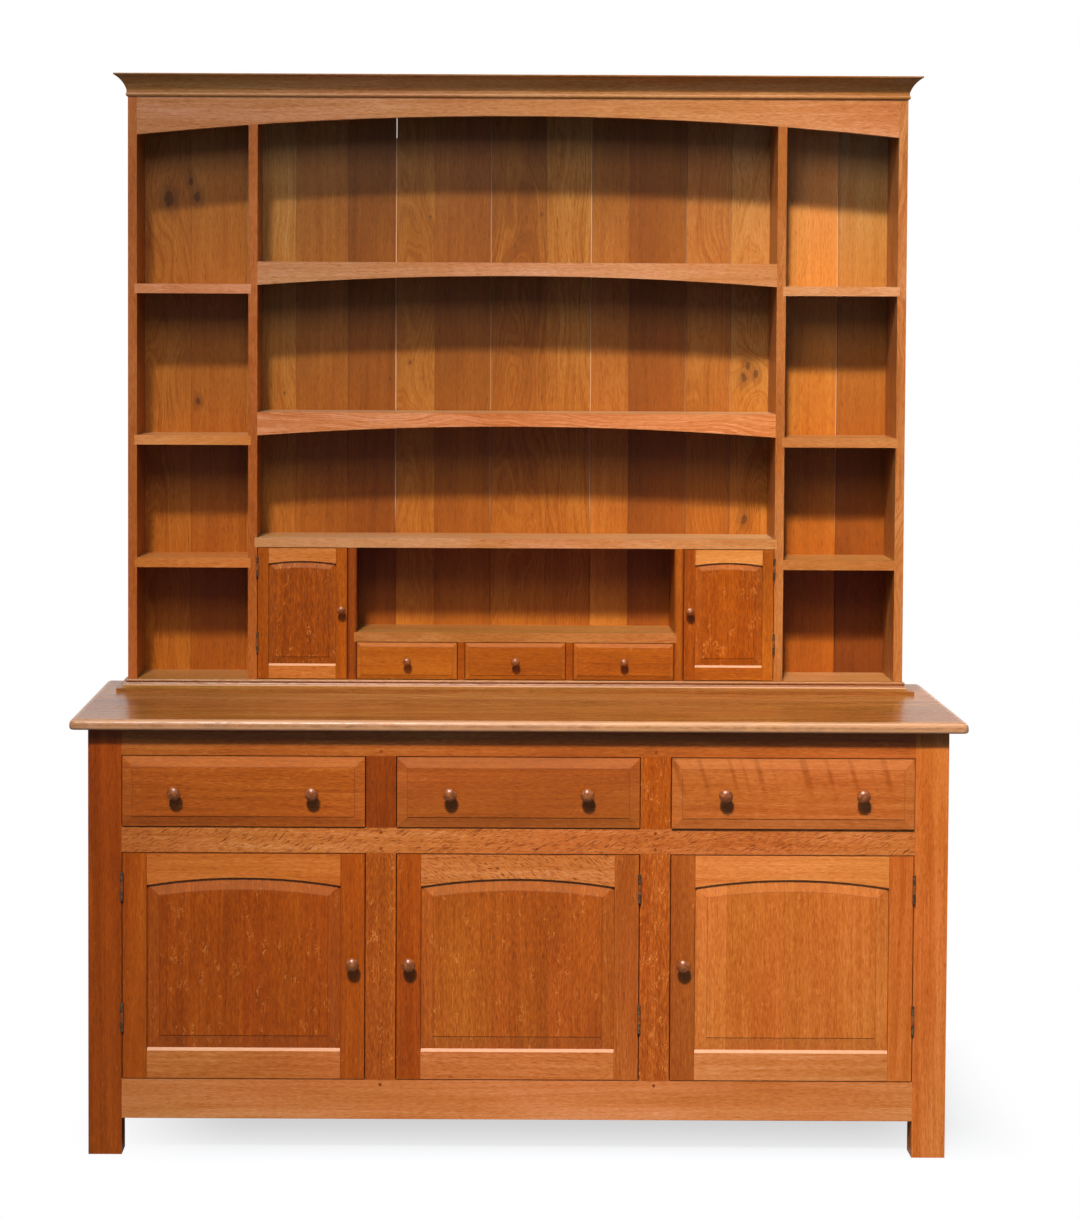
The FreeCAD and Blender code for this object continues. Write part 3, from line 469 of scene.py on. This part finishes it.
# What the slant of the grain does to the pores: they wave, and they are shorter, more and darker.
SLANT_WAVES = 0.05
SLANT_SHORTENS = 1.5
SLANT_ADDS = 0.04
SLANT_DARKENS = 0.6
# Clusters of flecks show between these values of their noise, and there are more where a piece shows rays.
CLUSTER_EDGE = (0.66, 0.73)
RAYS_ADD = 0.15
FLECK_WARP = 2.4
FLECK_SHARE = 0.15
FLECK_SHARE_IN_RAYS = 0.6
# The slanted bands at the top of the third drawer: their slant, how often they come in a metre, between
# which values of their noise they show, and between which places up the front they set in.
CURL_SLANT = 0.28
CURL_SCALE = 46.0
CURL_EDGE = (0.5, 0.66)
CURL_RISE = (-0.02, 0.045)
# A knot is longer along the grain by this stretch. In multiples of its radius: how far and how much the
# rings bend round it, and where its dark core and its halo fade out.
KNOT_STRETCH = 0.6
KNOT_BEND_REACH = 5
KNOT_BEND = 1.6
KNOT_CORE = (0.55, 0.9)
KNOT_HALO = (0.8, 2.6)
HALO_SHARE = 0.45
KNOT_SHARE = 0.7
# How much greyer what faces up becomes, partly from settled dust and partly as a painted sheen, and
# between which heights of its normal this sets in.
DUST_AND_SHEEN = 0.5
DUST_AND_SHEEN_UP = (0.6, 0.9)
# The pale edges of the worktop, partly rubbed through the finish and partly a painted highlight on its
# rounded nose: their width in metres, how ragged they are, and how much pale wood shows.
PALE_EDGE_WIDTH = 0.009
PALE_EDGE_RAGGED = 1.4
PALE_EDGE_SHARE = 0.35
# A bevel sets in between these places behind the edge of a raised field, in metres. It is made paler, a
# painted highlight, by the first share, and by the second one where it faces up.
BEVEL_START = (-0.0002, 0.0002)
BEVEL_UP = (0.02, 0.12)
BEVEL_HIGHLIGHT_SHARE = (0.03, 0.16)
# Chamfers are what faces up by about 45 degrees, so their normals have these heights. They are made paler
# by a share, a painted highlight.
CHAMFER_FROM = (0.6, 0.68)
CHAMFER_TO = (0.72, 0.8)
CHAMFER_HIGHLIGHT_SHARE = 0.4
# The dark line of painted shade along the step of a raised field, from before to behind its edge, in
# metres.
FIELD_SHADE_FROM = (-0.00055, -0.00045)
FIELD_SHADE_TO = (0.0001, 0.00028)
FIELD_SHADE_SHARE = 0.42
# The width of the board's rim that looks as pale as the tongue beside it, and the heights between which
# the tongues come into sight, in metres.
PALE_RIM = 0.0008
TONGUES_START = (1.12, 1.24)
# The painted shade along the gaps fades out between these distances down the side of a piece, in metres,
# and so many times nearer on its face.
GAP_SHADE_REACH = (0.001, 0.006)
GAP_SHADE_NARROWER = 5.0
# How the surface shines: changes of its roughness, and the relief of pores and lines, in metres.
STREAKS_ROUGHNESS = 0.07
PORES_ROUGHNESS = 0.16
FLECKS_SMOOTHNESS = 0.06
SPECULAR = 0.22
LINES_RELIEF = 0.5
RELIEF_STRENGTH = 0.35
RELIEF = 0.0003


class Oak(Shader):
    """Quarter-sawn or flat-sawn oak. It reads from the mesh where a point lies in its plank, counted from
    the plank's middle, and how that plank looks."""

    def __init__(self, name):
        super().__init__(bpy.data.materials.new(name))
        self.at = self.attribute("plank_at")
        self.half = self.attribute("plank_half")
        self.along, self.across, self.through = self.split(self.at)
        self.pith_across, self.pith_through, self.seed = self.split(self.attribute("plank_ring"))
        self.tone, self.redness, self.rays = self.split(self.attribute("plank_look"))
        board_width, first_board, self.aslant = self.split(self.attribute("plank_glue"))
        self.field, self.fading, self.dirt = self.split(self.attribute("plank_finish"))
        board = self.math("FLOOR", self.across / board_width + first_board)
        self.board_chance = self.chance(board, self.seed)
        shift = self.join(self.board_chance * BOARDS_ALONG, self.board_chance * BOARDS_ACROSS, 0.0)
        self.grain = self.vector("ADD", self.attribute("plank_grain"), shift)
        self.x, _, self.height = self.split(self.coordinates("Object"))
        _, _, self.upward = self.split(self.coordinates("Normal"))
        # How arched the figure is. It depends on how near the pith is, so it is 0 in quarter-sawn wood.
        self.arched = self.smooth(abs(self.pith_across), *ARCHED_PITH, 1.0, 0.0)

    def to_faces(self):
        """How far a point is from the plank's nearer end, its nearer edge and its nearer face."""
        return self.split(self.vector("SUBTRACT", self.half, self.vector("ABSOLUTE", self.at)))

    def pattern(self, name, **settings):
        scale, detail = PATTERNS[name]
        return self.noise(self.grain, scale, detail, **settings)

    def radius(self):
        """How far a point is from the pith, with the bends of a grown tree. Growth rings follow it."""
        wander = (self.pattern("wander") - 0.5) * (self.arched * WANDER_IF_ARCHED + WANDER)
        across = self.across - self.pith_across + self.board_chance * BOARDS_IN_TREE + wander
        radius = self.distance(across, self.through - self.pith_through)
        radius += self.along * (self.arched * TAPER_IF_ARCHED + TAPER)
        return radius + (self.pattern("swirl") - 0.5) * (self.arched * SWIRL_IF_ARCHED)

    def knots(self, radius, places):
        """The radius with bends round the knots, and the dark spots of the knots."""
        ragged = self.pattern("knot_edge")
        spots = 0.0
        for knot_x, knot_height, size in places:
            far = self.distance(self.x - knot_x, (self.height - knot_height) * KNOT_STRETCH)
            radius += self.smooth(far, 0.0, size * KNOT_BEND_REACH, size * KNOT_BEND, 0.0)
            core_edge, core_end = (size * times for times in KNOT_CORE)
            core = self.smooth(far + swing(ragged, size / 2), core_edge, core_end, 1.0, 0.0)
            halo_edge, halo_end = (size * times for times in KNOT_HALO)
            halo = self.smooth(far, halo_edge, halo_end, HALO_SHARE, 0.0)
            spots = self.largest(spots, core, halo)
        return radius, spots

    def on_rings(self, radius, scale, **settings):
        """Noise in stripes that follow the growth rings."""
        place = self.join(radius * scale[0], self.along * scale[1], self.seed)
        return self.noise(place, **settings)

    def pores(self):
        """Short dark strokes along the grain. Where it runs aslant they are shorter."""
        along, across, through = self.split(self.grain)
        across += self.aslant * (self.pattern("wave") * SLANT_WAVES + along)
        slant = abs(self.aslant)
        strokes = self.vector("MULTIPLY", self.join(along, across, through), PORES_SCALE)
        strokes = self.vector("MULTIPLY", strokes, self.join(slant * SLANT_SHORTENS + 1.0, 1.0, 1.0))
        return self.smooth(self.noise(strokes, detail=1.0) + slant * SLANT_ADDS, *PORES_EDGE)

    def flecks(self):
        """The pale ray flecks of quarter-sawn oak, winding ridges in clusters."""
        warp = self.pattern("warp")
        place = self.vector("MULTIPLY", self.grain, FLECKS_SCALE)
        worm = self.noise(self.vector("ADD", place, self.join(warp, warp * FLECK_WARP, 0.0)), detail=1.0)
        ridge = self.smooth(abs(worm - 0.5), 0.0, FLECK_WIDTH, 1.0, 0.0)
        cluster = self.smooth(self.pattern("clusters") + self.rays * RAYS_ADD, *CLUSTER_EDGE)
        return ridge * cluster * (self.rays * FLECK_SHARE_IN_RAYS + FLECK_SHARE)

    def curl(self):
        """The slanted bands at the top of a drawer front."""
        slanted = self.across * CURL_SLANT + self.along
        bands = self.noise(self.join(slanted * CURL_SCALE, 0.0, 0.0), detail=1.0)
        return self.smooth(bands, *CURL_EDGE) * self.smooth(self.across, *CURL_RISE)

    def depth(self, radius, streaks, lines, pores, calm):
        """Where the wood lies on the colours of oak, from 0 for the darkest to 1 for the palest."""
        rings = self.on_rings(radius, RINGS_SCALE, detail=1.0)
        rings = self.smooth(abs(rings - 0.5), 0.0, RING_WIDTH, 1.0, 0.0) * self.arched
        specks_depth = self.rays * (SPECKS_DEPTH_IN_RAYS * calm) + SPECKS_DEPTH * calm
        depth = self.tone + swing(streaks, STREAKS_DEPTH * calm) + swing(lines, LINES_DEPTH * calm)
        depth += swing(self.pattern("blotches", roughness=0.6), BLOTCHES_DEPTH)
        depth -= rings * (RINGS_DEPTH * calm)
        depth += (self.pattern("specks") - 0.5) * specks_depth
        depth += swing(self.board_chance, BOARDS_DEPTH)
        depth -= pores * (abs(self.aslant) * SLANT_DARKENS + PORES_DEPTH)
        return depth + swing(self.pattern("ripple", distortion=1.2), RIPPLE_DEPTH)

    def tinted(self, colour, dust):
        """The colour with the hue and the greying of its kind of wood, and greyer where it faces up,
        partly from settled grime and partly as a painted sheen.
        """
        hue = self.smooth(self.redness + swing(self.pattern("hue"), HUE_SWING), 0.0, 1.0)
        colour = self.multiply(colour, self.mix(hue, OLIVE_TINT, RED_TINT))
        total_greying = self.fading + self.smooth(self.upward, *DUST_AND_SHEEN_UP, 0.0, dust)
        return self.multiply(colour, self.mix(total_greying, NO_TINT, GREYING_TINT, clamp=False))

    def with_bare_edges(self, colour):
        """Pale wood along the edges, partly rubbed through the finish and partly a painted highlight. On
        the surface, the least of the three distances is 0, and the middle one is the distance to the
        nearest edge."""
        along, across, through = self.to_faces()
        least = self.smallest(along, across, through)
        most = self.largest(along, across, through)
        edge = along + across + through - least - most
        edge -= self.pattern("edge_raggedness") * (PALE_EDGE_RAGGED * PALE_EDGE_WIDTH)
        bare_and_highlit = self.smooth(edge, 0.0, PALE_EDGE_WIDTH, PALE_EDGE_SHARE, 0.0)
        return self.mix(bare_and_highlit, colour, BARE_WOOD_AND_HIGHLIGHT)

    def with_bevels(self, colour):
        """Bevels and chamfers paler where they face up, a painted highlight, and a dark line round a
        raised field, painted shade along its step.
        """
        behind = self.through - self.field
        bevel = self.smooth(behind, *BEVEL_START) * self.smooth(self.upward, *BEVEL_UP, *BEVEL_HIGHLIGHT_SHARE)
        colour = self.mix(bevel, colour, BEVEL_HIGHLIGHT)
        chamfer = self.smooth(self.upward, *CHAMFER_FROM)
        chamfer *= self.smooth(self.upward, *CHAMFER_TO, CHAMFER_HIGHLIGHT_SHARE, 0.0)
        colour = self.mix(chamfer, colour, CHAMFER_HIGHLIGHT)
        field_shade = self.smooth(behind, *FIELD_SHADE_FROM) * self.smooth(behind, *FIELD_SHADE_TO, FIELD_SHADE_SHARE, 0.0)
        return self.mix(field_shade, colour, FIELD_STEP_SHADE)

    def with_tongues(self, colour):
        """The pale tongue at the right edge of a back board."""
        _, half_across, _ = self.split(self.half)
        tongue = self.math("GREATER_THAN", self.across - half_across, -PALE_RIM)
        tongue *= self.dirt * self.smooth(self.height, *TONGUES_START)
        return self.mix(tongue, colour, PALE_TONGUE)

    def with_dirt(self, colour):
        """Painted shade along the gaps beside the plank, and at its ends where it has a raised field."""
        along, across, through = self.to_faces()
        side = self.smooth(self.largest(across * GAP_SHADE_NARROWER, through), *GAP_SHADE_REACH, 1.0, 0.0)
        end = self.smooth(self.largest(along * GAP_SHADE_NARROWER, through), *GAP_SHADE_REACH, 1.0, 0.0)
        end *= self.math("LESS_THAN", self.field, NO_FIELD / 2)
        return self.mix(self.largest(side, end) * self.dirt, colour, GAP_SHADE_COLOUR)


def oak(name, roughness, knots=(), tongues=False, bare_edges=False, curl=0.0, dust=0.0):
    """Oak with this roughness. Curl is the depth of the slanted bands at the top of a front, and the last
    value how much greyer the wood is where it faces up, partly from settled grime and partly as a painted
    sheen."""
    wood = Oak(name)
    radius = wood.radius()
    if knots:
        radius, spots = wood.knots(radius, knots)
    streaks = wood.on_rings(radius, STREAKS_SCALE, detail=5.0, roughness=0.62)
    lines = wood.on_rings(radius, LINES_SCALE)
    pores = wood.pores()
    flecks = wood.flecks()
    depth = wood.depth(radius, streaks, lines, pores, CALM_BOARDS if tongues else 1.0)
    if curl:
        depth -= wood.curl() * curl
    colour = wood.tinted(wood.ramp(depth, OAK), dust)
    colour = wood.mix(flecks, colour, FLECK_COLOUR)
    if knots:
        colour = wood.mix(spots * KNOT_SHARE, colour, KNOT_COLOUR)
    if bare_edges:
        colour = wood.with_bare_edges(colour)
    colour = wood.with_bevels(colour)
    colour = wood.with_tongues(colour) if tongues else wood.with_dirt(colour)
    rough = swing(streaks, STREAKS_ROUGHNESS) + roughness
    rough += pores * PORES_ROUGHNESS - flecks * FLECKS_SMOOTHNESS
    relief = wood.bump(lines * LINES_RELIEF - pores, RELIEF_STRENGTH, RELIEF)
    surface = wood.add("ShaderNodeBsdfPrincipled", {"Base Color": colour, "Roughness": rough,
                                                    "Specular IOR Level": SPECULAR, "Normal": relief})
    return wood.show(surface.outputs[0])


# Metal

# The patches and specks of old metal: how often they change in a metre.
PATCHES_SCALE = 160.0
SPECKS_SCALE = 900.0
SPECKS_IN_PATCHES = 0.15
# The metal is rubbed pale between these values of the patches.
PATCHES_EDGE = (0.4, 0.68)
PATCHES_ROUGHNESS = 0.11
SPECKS_STRENGTH = 0.25
SPECKS_RELIEF = 0.0002


def bronze(name, dark, pale, metallic, roughness):
    """Old bronze with a brown skin, rubbed paler in patches."""
    metal = Shader(bpy.data.materials.new(name))
    place = metal.coordinates("Object")
    patches = metal.noise(place, PATCHES_SCALE, detail=4.0, roughness=0.6)
    specks = metal.noise(place, SPECKS_SCALE)
    rubbed = metal.smooth(patches + swing(specks, SPECKS_IN_PATCHES), *PATCHES_EDGE)
    rough = swing(patches, PATCHES_ROUGHNESS) + roughness
    relief = metal.bump(specks, SPECKS_STRENGTH, SPECKS_RELIEF)
    surface = metal.add("ShaderNodeBsdfPrincipled", {"Base Color": metal.mix(rubbed, dark, pale),
                                                     "Metallic": metallic, "Roughness": rough,
                                                     "Normal": relief})
    return metal.show(surface.outputs[0])


# The knots and wormholes of the back boards: their place from left to right, their height and their
# radius, in metres.
KNOTS = (
    (0.478, 1.488, 0.007), (0.470, 1.463, 0.008), (0.495, 1.471, 0.007), (0.473, 1.171, 0.009),
    (-0.713, 1.826, 0.013), (-0.668, 1.861, 0.007), (-0.655, 1.829, 0.009), (-0.653, 1.410, 0.006),
    (-0.176, 1.791, 0.002), (-0.217, 1.492, 0.002), (-0.475, 1.428, 0.002), (0.052, 1.797, 0.002),
)
materials = {
    "oak": oak("waxed_oak", roughness=0.34, dust=DUST_AND_SHEEN),
    "boards": oak("waxed_oak_boards", roughness=0.46, knots=KNOTS, tongues=True),
    "curly": oak("curly_oak", roughness=0.34, curl=CURL_DEPTH, dust=DUST_AND_SHEEN),
    "worktop": oak("polished_oak", roughness=0.27, bare_edges=True),
    "inside": oak("plain_oak", roughness=0.62),
    "knobs": bronze("bronze_knobs", srgb(124, 60, 20), srgb(164, 94, 40), metallic=0.1, roughness=0.35),
    "hinges": bronze("bronze_hinges", srgb(74, 46, 24), srgb(120, 88, 52), metallic=0.3, roughness=0.51),
}
# The pieces that have a material of their own.
OWN_MATERIALS = {"rack_back_boards": "boards", "worktop": "worktop", "drawer_3_front": "curly"}


def material_of(name, piece):
    """Which of the materials a piece has."""
    if "knob" in name:
        return "knobs"
    if name.startswith("hinge"):
        return "hinges"
    is_inside = piece.data.materials[0].name.startswith("oak_inside")
    return OWN_MATERIALS.get(name, "inside" if is_inside else "oak")


for name, piece in nodes.items():
    key = material_of(name, piece)
    if key not in ("knobs", "hinges"):
        describe_planks(name, piece.data)
    piece.data.materials[0] = materials[key]


# The floor. It shows a faint real shadow under the dresser, and its glow is dimmed there as a painted
# shadow.
# Further out it is as white as the background.

# Where the floor starts to turn white and where it is all white, in metres: to the right and to the left,
# and before and behind the floor's middle.
WHITE_RIGHT = (0.66, 1.05)
WHITE_LEFT = (-0.5, -0.9)
WHITE_BEYOND = (0.2, 0.56)
FLOOR_MIDDLE = 0.02
# How bright the floor glows for the camera: the first strength before the dresser, up to this place, and
# the second one at the floor's middle. The dimmer glow under the dresser is a painted shadow.
PAINTED_SHADOW_FRONT = -0.3
GLOW_WITH_PAINTED_SHADOW = (0.93, 0.63)
FLOOR_BODY = (0.3, 0.3, 0.3, 1)
FLOOR_SEEN = (0.08, 0.08, 0.085, 1)
FLOOR_RADIUS = 9
FLOOR_CORNERS = 60
WHITE = (1, 1, 1, 1)


def floor_material():
    """Grey where it lights the dresser. The camera sees it darker, with a glow that is dimmed under the
    dresser as a painted shadow, and white far out.
    """
    floor = Shader(bpy.data.materials.new("floor"))
    x, y, _ = floor.split(floor.coordinates("Object"))
    beyond = floor.smooth(abs(y - FLOOR_MIDDLE), *WHITE_BEYOND)
    away = floor.largest(floor.smooth(x, *WHITE_RIGHT), floor.smooth(x, *WHITE_LEFT), beyond)
    shadowed_glow = floor.smooth(y, PAINTED_SHADOW_FRONT, FLOOR_MIDDLE, *GLOW_WITH_PAINTED_SHADOW)
    shadowed_glow = floor.add("ShaderNodeEmission", {"Color": WHITE, "Strength": shadowed_glow}).outputs[0]
    white = floor.add("ShaderNodeEmission", {"Color": WHITE, "Strength": 1.0}).outputs[0]
    body = floor.add("ShaderNodeBsdfDiffuse", {"Color": FLOOR_BODY}).outputs[0]
    seen = floor.add("ShaderNodeBsdfDiffuse", {"Color": FLOOR_SEEN}).outputs[0]
    seen = floor.add("ShaderNodeAddShader", {0: seen, 1: shadowed_glow}).outputs[0]
    seen = floor.add("ShaderNodeMixShader", {0: away, 1: seen, 2: white}).outputs[0]
    is_camera = floor.add("ShaderNodeLightPath", {}).outputs["Is Camera Ray"]
    return floor.show(floor.add("ShaderNodeMixShader", {0: is_camera, 1: body, 2: seen}).outputs[0])


def make_floor():
    mesh = bpy.data.meshes.new("floor")
    turns = [2 * math.pi * i / FLOOR_CORNERS for i in range(FLOOR_CORNERS)]
    rim = [(math.cos(turn) * FLOOR_RADIUS, math.sin(turn) * FLOOR_RADIUS, 0) for turn in turns]
    mesh.from_pydata(rim, [], [list(range(FLOOR_CORNERS))])
    mesh.materials.append(floor_material())
    floor = bpy.data.objects.new("floor", mesh)
    bpy.context.scene.collection.objects.link(floor)


make_floor()


# The studio: its air, its lamps and the camera

STUDIO_AIR = (0.12, 0.22, 0.41, 1)
# How far to the back a direction points where reflections start to show white, and where they do so fully.
WHITE_BEHIND = (0.1, 0.55)
# The lamps hang before the dresser, to the viewer's left. The azimuth is counted to the right of straight
# ahead, and it and the elevations are in degrees, and the other values in metres.
LIGHT_AZIMUTH = -11
SPOT_ELEVATION = 50.5
SOFT_ELEVATION = 38
SPOT_DISTANCE = 20.0
SPOT_RADIUS = 1.0
SOFT_DISTANCE = 3.25
SOFT_WIDTH = 1.2


def make_world():
    """Dim studio air. It is white for the camera, and for reflections of what lies behind the dresser."""
    world = bpy.data.worlds.new("studio")
    bpy.context.scene.world = world
    air = Shader(world)
    path = air.add("ShaderNodeLightPath", {}).outputs
    _, to_back, _ = air.split(air.coordinates("Generated"))
    mirror = air.largest(path["Is Glossy Ray"], path["Is Transmission Ray"])
    white = air.largest(path["Is Camera Ray"], mirror * air.smooth(to_back, *WHITE_BEHIND))
    colour = air.mix(white, STUDIO_AIR, WHITE)
    background = air.add("ShaderNodeBackground", {"Color": colour, "Strength": 1.0})
    air.show(background.outputs[0], "ShaderNodeOutputWorld")


def hang_lamp(name, data, target, elevation, distance, power):
    """Hangs a lamp at this distance from its target, and turns it to face it."""
    side, up = math.radians(LIGHT_AZIMUTH), math.radians(elevation)
    away = Vector((math.sin(side) * math.cos(up), -math.cos(side) * math.cos(up), math.sin(up)))
    data.energy = power
    lamp = bpy.data.objects.new(name, data)
    lamp.location = Vector(target) + away * distance
    lamp.rotation_euler = away.to_track_quat("Z", "Y").to_euler()
    bpy.context.scene.collection.objects.link(lamp)
    return lamp


def far_spot(name, target, width, height, blend, power):
    """A far spot lamp. Its beam has this width and height in degrees, and its light falls off over this
    share of the beam towards the edge. The light stops after one bounce, because more bounces would redden
    the shadows in the rack."""
    data = bpy.data.lights.new(name, "SPOT")
    data.shadow_soft_size = SPOT_RADIUS
    data.spot_size = math.radians(width)
    data.spot_blend = blend
    data.cycles.max_bounces = 1
    lamp = hang_lamp(name, data, target, SPOT_ELEVATION, SPOT_DISTANCE, power)
    lamp.scale.y = height / width


def soft_lamp(name, target, power):
    """A near square lamp with soft light."""
    data = bpy.data.lights.new(name, "AREA")
    data.size = SOFT_WIDTH
    hang_lamp(name, data, target, SOFT_ELEVATION, SOFT_DISTANCE, power)


make_world()
far_spot("key_lamp", (0.35, 0.2, 0.2), width=12.0, height=8.5, blend=1.0, power=24000)
far_spot("accent_lamp", (1.07, 0.2, 2.1), width=3.75, height=3.9, blend=0.6, power=52000)
soft_lamp("fill_lamp", (0, -0.1, 1.3), power=31)

# The camera, as found from the photograph: its place in metres, its tilt down and its roll in degrees, the
# width of its sensor and its lens in millimetres, and its shift as a share of the picture's longer side.
CAMERA_PLACE = (-0.1095, -4.796, 1.590)
CAMERA_DOWN = 2.1
CAMERA_ROLL = 0.26
CAMERA_SENSOR = 36.0
CAMERA_LENS = 72.3
CAMERA_SHIFT = (0.064, -0.168)


def make_camera():
    camera = bpy.data.objects.new("camera", bpy.data.cameras.new("camera"))
    bpy.context.scene.collection.objects.link(camera)
    camera.data.sensor_width = CAMERA_SENSOR
    camera.data.lens = CAMERA_LENS
    camera.data.shift_x, camera.data.shift_y = CAMERA_SHIFT
    tilt = Matrix.Rotation(math.radians(90 - CAMERA_DOWN), 4, "X")
    roll = Matrix.Rotation(math.radians(CAMERA_ROLL), 4, "Z")
    camera.matrix_world = Matrix.Translation(CAMERA_PLACE) @ tilt @ roll
    bpy.context.scene.camera = camera


make_camera()
bpy.context.scene.view_settings.view_transform = "Standard"
